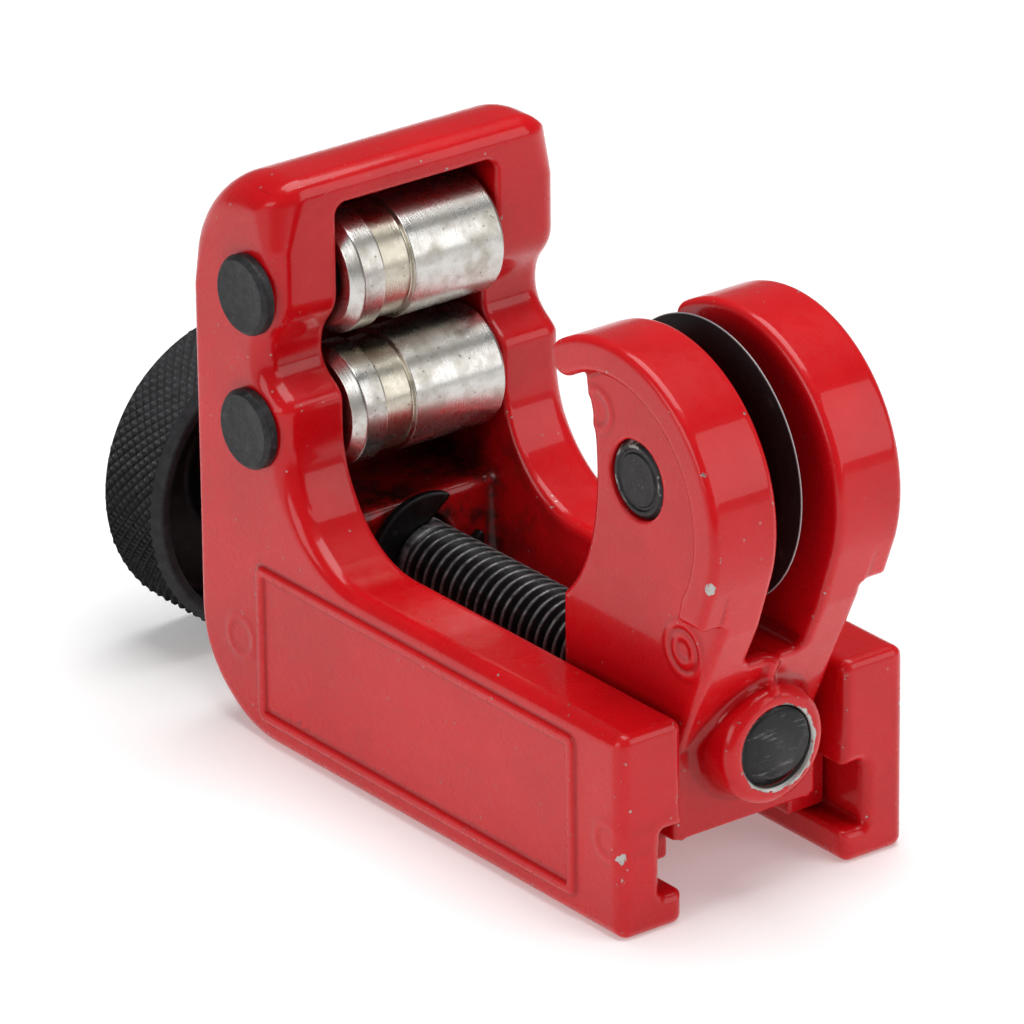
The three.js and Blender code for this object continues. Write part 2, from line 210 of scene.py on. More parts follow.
def surface_net(field, low, high, step):
    """A quad mesh of the field's zero surface."""
    axes = [np.arange(a - 2.37 * step, b + 2.5 * step, step) for a, b in zip(low, high)]
    sizes = [len(a) for a in axes]
    x, y, z = np.meshgrid(*axes, indexing="ij", sparse=True)
    value = np.ascontiguousarray(np.broadcast_to(field(x, y, z), sizes))
    inside = value < 0
    corners = [(i, j, k) for i in (0, 1) for j in (0, 1) for k in (0, 1)]
    filled = np.zeros([n - 1 for n in sizes], np.int8)
    for corner in corners:
        filled += inside[tuple(slice(c, n - 1 + c) for c, n in zip(corner, sizes))]
    cells = np.argwhere((filled > 0) & (filled < 8))
    number = np.full(filled.shape, -1, np.int32)
    number[tuple(cells.T)] = np.arange(len(cells))
    at_corner = [value[tuple((cells + c).T)] for c in corners]
    total = np.zeros((len(cells), 3))
    hits = np.zeros(len(cells))
    for a, corner in enumerate(corners):
        for axis, b in zip(range(3), (a + 4, a + 2, a + 1)):
            if corner[axis]:
                continue
            crossing = (at_corner[a] < 0) != (at_corner[b] < 0)
            start, end = at_corner[a][crossing], at_corner[b][crossing]
            point = np.tile(np.array(corner, float), (len(start), 1))
            point[:, axis] += start / (start - end)
            total[crossing] += point
            hits[crossing] += 1
    points = (cells + total / hits[:, None]) * step + [a[0] for a in axes]
    faces = []
    unit = np.eye(3, dtype=int)
    for axis in range(3):
        first = tuple(slice(None, -1) if i == axis else slice(None) for i in range(3))
        second = tuple(slice(1, None) if i == axis else slice(None) for i in range(3))
        edges = np.argwhere(inside[first] != inside[second])
        outward = inside[first][tuple(edges.T)]
        along, across = unit[(axis + 1) % 3], unit[(axis + 2) % 3]
        ring = [number[tuple((edges - o).T)] for o in (along + across, across, 0 * along, along)]
        faces.append(np.stack(ring, 1))
        faces[-1][~outward] = faces[-1][~outward][:, ::-1]
    return points, np.vstack(faces)


def new_mesh(name, points, faces):
    """A smooth mesh object from points in millimetres."""
    mesh = bpy.data.meshes.new(name)
    mesh.from_pydata((np.asarray(points) * MM).tolist(), [], [list(map(int, f)) for f in faces])
    mesh.validate()
    mesh.shade_smooth()
    made = bpy.data.objects.new(name, mesh)
    bpy.context.scene.collection.objects.link(made)
    return made


def mesh_points(mesh):
    points = np.empty(len(mesh.vertices) * 3)
    mesh.vertices.foreach_get("co", points)
    return points.reshape(-1, 3) / MM


def add_values(mesh, name, values):
    attribute = mesh.attributes.new(name, "FLOAT", "POINT")
    attribute.data.foreach_set("value", np.asarray(values, np.float32))


def thinned(made, share):
    """Merges edges where the surface is flat, down to a share of the faces."""
    modifier = made.modifiers.new("thin", "DECIMATE")
    modifier.ratio = share
    graph = bpy.context.evaluated_depsgraph_get()
    mesh = bpy.data.meshes.new_from_object(made.evaluated_get(graph))
    made.modifiers.clear()
    made.data = mesh


def cast_piece(name, field, low, high, step, most_faces):
    """A piece with the field's shape, true normals, and its curvature stored for the paint."""
    points, faces = surface_net(field, low, high, step)
    points = settle(field, points, faces)
    made = new_mesh(name, points, faces)
    if 2 * len(faces) > most_faces:
        thinned(made, most_faces / (2 * len(faces)))
    mesh = made.data
    points = mesh_points(mesh)
    distance, normal, _ = probe(field, points)
    points = points - distance[:, None] * normal
    _, normal, curvature = probe(field, points, reach=0.12)
    mesh.vertices.foreach_set("co", (points * MM).ravel())
    mesh.shade_smooth()
    mesh.normals_split_custom_set_from_vertices(normal)
    add_values(mesh, "curvature", curvature)
    return made


# ---------------------------------------------------------------------------------------------
# Turned pieces
# ---------------------------------------------------------------------------------------------


def filleted(corners, closed, steps=4):
    """A profile's points and normals, from (radius, along, fillet) corners.

    The outside is on the right of the way that the corners run.
    """
    places = np.array([c[:2] for c in corners], float)
    points, normals = [], []
    total = len(places)
    for i, (radius, along, fillet) in enumerate(corners):
        if not closed and i in (0, total - 1):
            way = places[1] - places[0] if i == 0 else places[-1] - places[-2]
            way /= np.linalg.norm(way)
            points.append(places[i])
            normals.append(np.array([way[1], -way[0]]))
            continue
        before = places[i] - places[i - 1]
        after = places[(i + 1) % total] - places[i]
        room = 0.49 * min(np.linalg.norm(before), np.linalg.norm(after))
        before /= np.linalg.norm(before)
        after /= np.linalg.norm(after)
        turn = math.atan2(before[0] * after[1] - before[1] * after[0], before @ after)
        cut = min(fillet * abs(math.tan(turn / 2)), room)
        bend = cut / max(abs(math.tan(turn / 2)), 1e-6)
        side = 1 if turn > 0 else -1
        first = np.array([before[1], -before[0]])
        centre = places[i] - before * cut - side * bend * first
        for share in np.linspace(0, 1, steps + 1):
            c, s = math.cos(turn * share), math.sin(turn * share)
            normal = np.array([c * first[0] - s * first[1], s * first[0] + c * first[1]])
            points.append(centre + side * bend * normal)
            normals.append(normal)
    return np.array(points), np.array(normals)


def turned_shape(corners, axis, centre, segments, closed):
    """Points, normals and faces of a profile turned about a line along X or Y."""
    profile, slopes = filleted(corners, closed)
    if not closed:
        profile, slopes = profile[1:-1], slopes[1:-1]
    turn = np.linspace(0, 2 * math.pi, segments, endpoint=False)
    c, s = np.cos(turn), np.sin(turn)
    frames = []
    for source in (profile, slopes):
        radial, along = source[:, :1], np.repeat(source[:, 1:], segments, 1)
        parts = [along, radial * c, radial * s] if axis == "x" else [radial * s, along, radial * c]
        frames.append(np.stack(parts, -1))
    points, normals = (f.reshape(-1, 3) for f in frames)
    points = points + np.array([0, *centre] if axis == "x" else [centre[0], 0, centre[1]])
    count = len(profile)
    number = np.arange(count * segments).reshape(count, segments)
    rows = np.append(number, number[:1], 0) if closed else number
    low, high = rows[:-1], rows[1:]
    low_next, high_next = np.roll(low, -1, 1), np.roll(high, -1, 1)
    faces = np.stack([low, low_next, high_next, high], -1).reshape(-1, 4).tolist()
    if not closed:
        faces += [number[0][::-1].tolist(), number[-1].tolist()]
    return points, normals, faces


def turned_piece(name, corners, axis, centre, segments=96, closed=False):
    points, normals, faces = turned_shape(corners, axis, centre, segments, closed)
    made = new_mesh(name, points, faces)
    made.data.normals_split_custom_set_from_vertices(normals)
    return made


# ---------------------------------------------------------------------------------------------
# Body casting
# ---------------------------------------------------------------------------------------------

body_low, body_high = span("body_casting")
BODY_BACK, RAIL_END = body_low[0], body_high[0]
BODY_HALF, ARM_TOP = body_high[1], body_high[2]
SCREW_AXIS = tuple(sum(span("feed_screw"))[1:] / 2)
ROLLER_AXES = [tuple((sum(span(node)) / 2)[[0, 2]]) for node in ("lower_roller", "upper_roller")]

FAR_OUT = 60  # past everything, for cuts that are open at one end
RAIL_TOP = 15.3
CHANNEL_HALF = 7.0
GROOVE = {"reach": 8.9, "bottom": 2.4, "top": 7.4}
ARM_FRONT = -10.4
LOWER_NOSE = 0.5  # how far the arm's lower nose stands in front of the upper one
DIP_DEPTH = 1.9
SWEEP_RADIUS = 8.6
SHOULDER_RADIUS = 7.3
HEEL_RADIUS = 8.4
BRIDGE_EDGE = 1.5
END_WALL_FRONT = -11.0
END_WALL_TOP = 16.1
BACK_WALL = 1.8
WINDOW_TOP = 40.5
BORDER = {"back": -13.2, "front": 23.5, "bottom": 1.7, "top": 13.7, "band": 0.75}
PIN_HOLE = 2.1
SCREW_HOLE = 3.3
BODY_MARKS = [((-15.4, 7.3), 1.5), ((27.0, 7.2), 1.3)]  # round marks of the mould's ejectors


def body_outline():
    nose = ARM_FRONT + LOWER_NOSE
    sweep = (nose + SWEEP_RADIUS, RAIL_TOP + SWEEP_RADIUS)
    dip = (ARM_FRONT - DIP_DEPTH, (ROLLER_AXES[0][1] + ROLLER_AXES[1][1]) / 2)
    shoulder = (BODY_BACK + SHOULDER_RADIUS, ARM_TOP - SHOULDER_RADIUS)
    heel = (BODY_BACK + HEEL_RADIUS, HEEL_RADIUS)
    bridge = (ARM_FRONT - BRIDGE_EDGE, ARM_TOP - BRIDGE_EDGE)
    return outline_field([
        arc((RAIL_END - 0.7, 0.7), 0.7, -QUARTER, 0, 12),
        arc((RAIL_END - 0.8, RAIL_TOP - 0.8), 0.8, 0, QUARTER, 12),
        arc(sweep, SWEEP_RADIUS, -QUARTER, -2 * QUARTER, 60),
        bezier([(nose, sweep[1] + 2), (nose, dip[1] - 2), (dip[0], dip[1] - 2), dip]),
        bezier([dip, (dip[0], dip[1] + 2.5), (ARM_FRONT, dip[1] + 2.5), (ARM_FRONT, dip[1] + 4.8)]),
        arc(bridge, BRIDGE_EDGE, 0, QUARTER, 16),
        arc(shoulder, SHOULDER_RADIUS, QUARTER, 2 * QUARTER),
        arc(heel, HEEL_RADIUS, 2 * QUARTER, 3 * QUARTER),
    ])


body_side = body_outline()


def border_frame(x, z):
    """Distance from the raised line round the near side's panel."""
    half = BORDER["band"] / 2
    across = slab(x, BORDER["back"] + half, BORDER["front"] - half)
    upright = slab(z, BORDER["bottom"] + half, BORDER["top"] - half)
    return np.abs(common(across, upright, 0.4)) - half


def ramp(value, start, end):
    return np.clip((value - start) / (end - start), 0, 1)


def body_edge(x, z):
    """How round the side edges are: tightest at the back, softer up the front, softest on top."""
    front = ramp(x, -17, -13)
    edge = 1.0 + 0.5 * ramp(z, 14, 20) * front - 0.35 * ramp(x, -17, -19.5)
    top = ramp(z, 33 + 5 * front, 42)
    return edge * (1 - top) + 3.0 * top


def body_field(x, y, z):
    made = common(body_side(x, z), np.abs(y) - BODY_HALF, body_edge(x, z))
    line = common(border_frame(x, z), slab(y, body_low[1], -BODY_HALF + 1), 0.16)
    made = joined(made, line, 0.16)
    # The channel between the rails and between the arm's walls, open at the front
    channel = common(slab(x, END_WALL_FRONT, FAR_OUT), np.abs(y) - CHANNEL_HALF, 0.9)
    channel = common(channel, z - WINDOW_TOP, 0.9)
    # The window behind the rollers, kept inside the round shoulder
    low = (BODY_BACK + BACK_WALL, -CHANNEL_HALF, END_WALL_TOP)
    cavity = block(x, y, z, low, (FAR_OUT, CHANNEL_HALF, WINDOW_TOP), 1.0)
    behind = np.maximum(BODY_BACK + SHOULDER_RADIUS - x, 0)
    above = np.maximum(z - ARM_TOP + SHOULDER_RADIUS, 0)
    cavity = np.maximum(cavity, np.hypot(behind, above) - SHOULDER_RADIUS + BACK_WALL)
    cut = joined(channel, cavity, 0.8)
    cut = np.maximum(cut, common(np.abs(y) - CHANNEL_HALF, z - WINDOW_TOP, 0.9))
    # The grooves that the jaw's tongues run in
    groove = common(np.abs(y) - GROOVE["reach"], slab(z, GROOVE["bottom"], GROOVE["top"]), 0.45)
    cut = joined(cut, common(groove, slab(x, END_WALL_FRONT, FAR_OUT), 0.45), 0.3)
    made = without(made, cut, 0.85 - 0.45 * ramp(z, 15.5, 19))
    made = without(made, rod(y, z, SCREW_AXIS, SCREW_HOLE), 0.4)
    hole = PIN_HOLE - 0.3 * ramp(y, 11.0, 11.4)  # narrower where the pin's far end is
    for axis in ROLLER_AXES:
        made = without(made, rod(x, z, axis, hole), 0.15)
    for centre, radius in BODY_MARKS:
        ring = np.abs(rod(x, z, centre, radius))
        made = made - ridge(ring, 0.32, 0.07) * (y < 0)
    return made


body = cast_piece("cast_body", body_field, body_low, body_high, step=0.2, most_faces=190000)
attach(body, "frame")
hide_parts("body_casting")

# ---------------------------------------------------------------------------------------------
# Jaw casting
# ---------------------------------------------------------------------------------------------

jaw_low, jaw_high = span("jaw_casting")
wheel_low, wheel_high = span("cutting_wheel")
WHEEL_AXIS = tuple((wheel_low + wheel_high)[[0, 2]] / 2)
JAW_BACK, BOSS_FACE = jaw_low[0], span("feed_screw")[1][0]

JAW_FRONT = 26.4
JAW_BOTTOM = 4.9
JAW_HALF = 6.3
CHEEK_HALF = 6.15
RIM_HALF = 8.2
RIM_BAND = 2.6
RIM_END = 23.1
CHEEK_CENTRE = (21.9, 29.55)
CHEEK_RADIUS = 11.4
CHEEK_START, CHEEK_END = -0.31, 2.12
NECK_FRONT = (31.3, 21.9)
THROAT = {"top": (-5.4, 6.2), "waist": -4.0, "foot": (-5.6, -6.6), "base": -10.2}
SLOT_HALF = 2.55
SLOT_FLOOR = 18.4
TONGUE = {"back": 14.3, "front": 24.5, "bottom": 2.8, "top": 7.1, "reach": 8.6}
BOSS_RADIUS = 4.3
SCREW_BORE = 3.0
AXLE_HOLE = 2.88
JAW_MARKS = [((27.4, 19.8), 1.9), ((27.4, 19.8), 1.0), ((18.1, 34.4), 1.4)]


def cheek_outline():
    x, z = CHEEK_CENTRE
    top, waist, foot, base = (THROAT[k] for k in ("top", "waist", "foot", "base"))
    upper = (x + top[0], z + top[1])
    lower = (x + foot[0], z + foot[1])
    pull = 0.75 * waist
    return outline_field([
        [JAW_BACK, JAW_BOTTOM],
        [JAW_FRONT, JAW_BOTTOM],
        [JAW_FRONT, SCREW_AXIS[1]],
        NECK_FRONT,
        arc(CHEEK_CENTRE, CHEEK_RADIUS, CHEEK_START, CHEEK_END, 160),
        bezier([upper, (x + waist, z - pull), (x + waist, z + pull), lower]),
        bezier([lower, (lower[0] - 1, z + base + 1.3), (JAW_BACK, z + base)], 24),
    ])


def rim_outline():
    x, z = CHEEK_CENTRE
    inner = CHEEK_RADIUS - RIM_BAND
    middle = inner + RIM_BAND / 2
    tip = (x + math.cos(CHEEK_END) * middle, z + math.sin(CHEEK_END) * middle)
    return outline_field([
        [x + inner * 0.8, RIM_END],
        [NECK_FRONT[0] + 0.3, RIM_END],
        arc(CHEEK_CENTRE, CHEEK_RADIUS, CHEEK_START, CHEEK_END, 160),
        arc(tip, RIM_BAND / 2, CHEEK_END, CHEEK_END + 2 * QUARTER, 24),
        arc(CHEEK_CENTRE, inner, CHEEK_END, -0.55, 120),
    ])


cheek_side, rim_side = cheek_outline(), rim_outline()


def jaw_field(x, y, z):
    cheek, rim = cheek_side(x, z), rim_side(x, z)
    made = common(cheek, np.abs(y) - CHEEK_HALF, 0.7)
    made = joined(made, common(rim, np.abs(y) - RIM_HALF, 0.6), 0.5)
    made = np.maximum(made, common(np.minimum(cheek, rim), np.abs(y) - RIM_HALF, 0.6))
    # The base block and its tongues
    low = (JAW_BACK, -JAW_HALF, JAW_BOTTOM)
    made = np.minimum(made, block(x, y, z, low, (JAW_FRONT, JAW_HALF, RAIL_TOP - 2.3), 0.5))
    low = (TONGUE["back"], -TONGUE["reach"], TONGUE["bottom"])
    high = (TONGUE["front"], TONGUE["reach"], TONGUE["top"])
    made = joined(made, block(x, y, z, low, high, 0.4), 0.3)
    # The boss round the screw, with a parting ridge above it
    boss = common(rod(y, z, SCREW_AXIS, BOSS_RADIUS), slab(x, JAW_FRONT - 2, BOSS_FACE), 0.9)
    made = joined(made, boss, 0.8)
    seam = slab(z, SCREW_AXIS[1] + BOSS_RADIUS - 0.5, SLOT_FLOOR + 0.3)
    made = made - ridge(y, 0.45, 0.45) * ramp(-seam, 0, 0.8) * (x > JAW_FRONT)
    # The hollow underside, the wheel's slot and the bores
    low = (TONGUE["back"] - 2, 1 - JAW_HALF, -5)
    high = (TONGUE["front"] + 2, JAW_HALF - 1, JAW_BOTTOM)
    made = without(made, block(x, y, z, low, high, 0.3), 0.3)
    slot = common(np.abs(y) - SLOT_HALF, SLOT_FLOOR - z, 0.8)
    made = without(made, slot, 0.6)
    made = without(made, rod(y, z, SCREW_AXIS, SCREW_BORE), 0.25)
    made = without(made, rod(x, z, WHEEL_AXIS, AXLE_HOLE), 0.15)
    for centre, radius in JAW_MARKS:
        ring = np.abs(rod(x, z, centre, radius))
        made = made - ridge(ring, 0.28, 0.09) * (y < 0)
    return made


jaw = cast_piece("cast_jaw", jaw_field, jaw_low, jaw_high, step=0.2, most_faces=190000)
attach(jaw, "jaw")
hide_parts("jaw_casting")

# ---------------------------------------------------------------------------------------------
# Rollers, pins, wheel, washers
# ---------------------------------------------------------------------------------------------

ROLLER_GROOVE = (-4.1, -1.5)  # gives way to a tube's flared end
ROLLER_BORE = 2.3


def make_roller(name, place):
    low, high = span(name)
    radius, bore = (high[0] - low[0]) / 2, ROLLER_BORE
    (near, far), deep = ROLLER_GROOVE, 0.35
    corners = [
        (bore, low[1], 0.1),
        (radius - 0.75, low[1], 0.15),
        (radius, low[1] + 0.75, 0.3),
        (radius, near, 0.12),
        (radius - deep, near + 0.15, 0.15),
        (radius - deep, far - 0.15, 0.15),
        (radius, far, 0.12),
        (radius, high[1] - 0.4, 0.25),
        (radius - 0.45, high[1], 0.15),
        (bore, high[1], 0.1),
    ]
    roller = turned_piece("turned_" + name, corners, "y", place, segments=128, closed=True)
    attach(roller, name)
    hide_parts(name)
    return roller


def make_roller_pin(name, place):
    low, high = span(name)
    radius = 2.0
    head = (high[0] - low[0]) / 2
    under = -BODY_HALF - 0.05
    corners = [
        (0, low[1] + 0.12, 0),
        (head - 1.1, low[1] + 0.06, 0.5),
        (head - 0.32, low[1], 0.12),
        (head, low[1] + 0.35, 0.3),
        (head, under, 0.05),
        (radius, under, 0.05),
        (radius, BODY_HALF - 1.6, 0.1),
        (radius - 0.25, BODY_HALF - 1.3, 0.1),
        (radius - 0.25, high[1] - 0.15, 0.1),
        (radius - 0.5, high[1], 0.1),
        (0.7, high[1] - 0.05, 0.1),
        (0, high[1] - 0.3, 0),
    ]
    pin = turned_piece("headed_" + name, corners, "y", place)
    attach(pin, "frame")
    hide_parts(name)
    return pin


rollers = [make_roller(n, p) for n, p in zip(("lower_roller", "upper_roller"), ROLLER_AXES)]
pins = [make_roller_pin(n, p) for n, p in zip(("lower_roller_pin", "upper_roller_pin"), ROLLER_AXES)]


def make_wheel():
    radius = (wheel_high[0] - wheel_low[0]) / 2
    hub, bore, half, bevel = 4.2, 3.0, 0.6, 1.6
    corners = [
        (bore, wheel_low[1], 0.15),
        (hub, wheel_low[1], 0.25),
        (hub, -half, 0.3),
        (radius - bevel, -half, 0.4),
        (radius, -0.03, 0.02),
        (radius, 0.03, 0.02),
        (radius - bevel, half, 0.4),
        (hub, half, 0.3),
        (hub, wheel_high[1], 0.25),
        (bore, wheel_high[1], 0.15),
    ]
    made = turned_piece("ground_wheel", corners, "y", WHEEL_AXIS, segments=180, closed=True)
    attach(made, "wheel")
    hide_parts("cutting_wheel")
    return made


def make_axle():
    low, high = span("wheel_axle_pin")
    radius = (high[0] - low[0]) / 2
    corners = [
        (0, low[1], 0),
        (radius * 0.66, low[1], 0.1),
        (radius * 0.7, low[1] + 0.12, 0.08),
        (radius * 0.76, low[1] + 0.12, 0.08),
        (radius * 0.8, low[1], 0.08),
        (radius - 0.3, low[1], 0.15),
        (radius, low[1] + 0.3, 0.2),
        (radius, high[1] - 0.3, 0.2),
        (radius - 0.3, high[1], 0.15),
        (radius * 0.7, high[1], 0.1),
        (radius * 0.6, high[1] - 0.1, 0.1),
        (0, high[1] - 0.1, 0),
    ]
    made = turned_piece("headed_wheel_axle", corners, "y", WHEEL_AXIS)
    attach(made, "jaw")
    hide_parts("wheel_axle_pin")
    return made


wheel, axle = make_wheel(), make_axle()


def make_washer():
    low, high = span("thrust_washer")
    outer, bore = (high[2] - low[2]) / 2, 3.1
    corners = [(bore, low[0], 0.1), (outer, low[0], 0.2), (outer, high[0], 0.2), (bore, high[0], 0.1)]
    made = turned_piece("turned_thrust_washer", corners, "x", SCREW_AXIS, closed=True)
    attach(made, "screw_unit")
    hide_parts("thrust_washer")
    return made


def make_cross_pin():
    low, high = span("knob_cross_pin")
    radius = (high[0] - low[0]) / 2
    centre = tuple((low + high)[[0, 2]] / 2)
    corners = [(0, low[1], 0), (radius, low[1], 0.3), (radius, high[1], 0.3), (0, high[1], 0)]
    made = turned_piece("rolled_cross_pin", corners, "y", centre, segments=48)
    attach(made, "screw_unit")
    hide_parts("knob_cross_pin")
    return made


washer, cross_pin = make_washer(), make_cross_pin()

CLIP_TURN = math.radians(38)  # the mouth looks up and away from the pin heads


def make_clip():
    """An open spring ring: its mouth, two round lobes beside it and a notch opposite."""
    low, high = span("retaining_clip")
    outer, bore = (high[2] - low[2]) / 2, 2.3

    def field(x, y, z):
        around = rod(y, z, SCREW_AXIS, outer)
        bend = np.arctan2(z - SCREW_AXIS[1], y - SCREW_AXIS[0]) - CLIP_TURN
        inner = rod(y, z, SCREW_AXIS, bore + 0.9 * np.clip(np.cos(2 * bend), 0, 1))
        ring = without(around, inner, 0.1)
        away = np.hypot(y - SCREW_AXIS[0], z - SCREW_AXIS[1])
        mouth = common(-away * np.cos(bend), np.abs(away * np.sin(bend)) - bore * 0.95, 0.5)
        ring = without(ring, mouth, 0.4)
        return common(ring, slab(x, low[0], high[0]), 0.12)

    made = cast_piece("spring_clip", field, low, high, step=0.1, most_faces=60000)
    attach(made, "screw_unit")
    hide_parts("retaining_clip")
    return made


clip = make_clip()

# ---------------------------------------------------------------------------------------------
# Feed screw and knob
# ---------------------------------------------------------------------------------------------

THREAD_PITCH = 1.0
THREAD_DEPTH = 0.52
THREAD_BACK = -9.0
THREAD_RUNOUT = 0.7
THREAD_ROOT, THREAD_FLANK = 0.16, 0.68  # shares of half a pitch
CLIP_GROOVE = 2.2
CROSS_PIN_AXIS = tuple((sum(span("knob_cross_pin")) / 2)[[0, 2]])
CROSS_PIN_HOLE = 1.05


def make_screw():
    low, high = span("feed_screw")
    clip_low, clip_high = span("retaining_clip")
    radius = (high[2] - low[2]) / 2

    def field(x, y, z):
        away = np.hypot(y - SCREW_AXIS[0], z - SCREW_AXIS[1])
        turn = np.arctan2(z - SCREW_AXIS[1], y - SCREW_AXIS[0]) / (2 * math.pi)
        phase = (x - THREAD_BACK) / THREAD_PITCH + turn
        wave = np.abs(2 * (phase - np.floor(phase)) - 1)
        tooth = np.clip((wave - THREAD_ROOT) / THREAD_FLANK, 0, 1)
        tooth = tooth * tooth * (3 - 2 * tooth)
        threaded = np.clip((x - THREAD_BACK) / THREAD_RUNOUT, 0, 1)
        thread = radius - THREAD_DEPTH * threaded * (1 - tooth)
        made = common(away - thread, slab(x, low[0], high[0]), 0.3)
        groove = slab(x, clip_low[0] - 0.1, clip_high[0] + 0.1)
        made = without(made, common(groove, CLIP_GROOVE - away), 0.05)
        return without(made, rod(x, z, CROSS_PIN_AXIS, CROSS_PIN_HOLE), 0.05)

    made = cast_piece("threaded_screw", field, low, high, step=0.11, most_faces=198000)
    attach(made, "screw_unit")
    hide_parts("feed_screw")
    return made


screw = make_screw()

KNURL_ROUND = 76
KNURL_STEPS = 8
KNURL_DEPTH = 0.3
KNOB_WIDTH = 7.2


def make_knob():
    """A cup that opens towards the casting, with a diamond knurl round its band."""
    low, high = span("knob")
    radius = (high[2] - low[2]) / 2
    front = low[0] + KNOB_WIDTH
    rim, web, hub, bore = 1.35, 2.0, 5.0, 3.05
    band_back, band_front = low[0] + 0.75, front - 1.0
    rows = round((band_front - band_back) / (2 * math.pi * radius / KNURL_ROUND))
    steps = rows * KNURL_STEPS
    band = [(radius, x, 0) for x in np.linspace(band_back, band_front, steps + 1)]
    corners = [
        (bore, low[0], 0.2),
        (6.4, low[0], 0.3),
        (6.8, low[0] + 0.35, 0.3),
        (9.4, low[0] + 0.35, 0.3),
        (9.8, low[0], 0.3),
        (radius - 0.75, low[0], 0.15),
        (radius - 0.1, low[0] + 0.65, 0.2),
        *band,
        (radius - 0.1, front - 0.85, 0.3),
        (radius - 0.6, front - 0.12, 0.4),
        (radius - rim, front, 0.35),
        (radius - rim - 0.15, low[0] + web, 0.6),
        (hub + 0.15, low[0] + web, 0.5),
        (hub, high[0], 0.3),
        (bore, high[0], 0.2),
    ]
    segments = KNURL_ROUND * KNURL_STEPS
    points, normals, faces = turned_shape(corners, "x", SCREW_AXIS, segments, closed=True)
    y, z = points[:, 1] - SCREW_AXIS[0], points[:, 2] - SCREW_AXIS[1]
    away = np.hypot(y, z)
    u = np.arctan2(z, y) / (2 * math.pi) * KNURL_ROUND
    v = (points[:, 0] - band_back) / (band_front - band_back) * rows
    on_band = (np.abs(away - radius) < 1e-6) & (v > -1e-6) & (v < rows + 1e-6)

    def ripple(t):
        return np.abs(2 * (t - np.floor(t)) - 1)

    height = np.minimum(np.minimum(ripple(u + v), ripple(u - v)) * 1.25, 1)
    wear = 1 - 0.12 * np.sin(1.7 * u) * np.sin(2.3 * v + 0.5 * u)
    drop = np.where(on_band, KNURL_DEPTH * (1 - height * wear), 0)
    points[:, 1] -= drop * y / np.maximum(away, 1e-9)
    points[:, 2] -= drop * z / np.maximum(away, 1e-9)
    made = new_mesh("knurled_knob", points, faces)
    rough = np.empty(len(points) * 3)
    made.data.vertices.foreach_get("normal", rough)
    normals = np.where(on_band[:, None], rough.reshape(-1, 3), normals)
    made.data.normals_split_custom_set_from_vertices(normals)
    add_values(made.data, "height", np.where(on_band, height, 0.3))
    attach(made, "screw_unit")
    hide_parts("knob")
    return made


knob = make_knob()

# ---------------------------------------------------------------------------------------------
# Materials: node trees over the object's own coordinates, in millimetres
# ---------------------------------------------------------------------------------------------


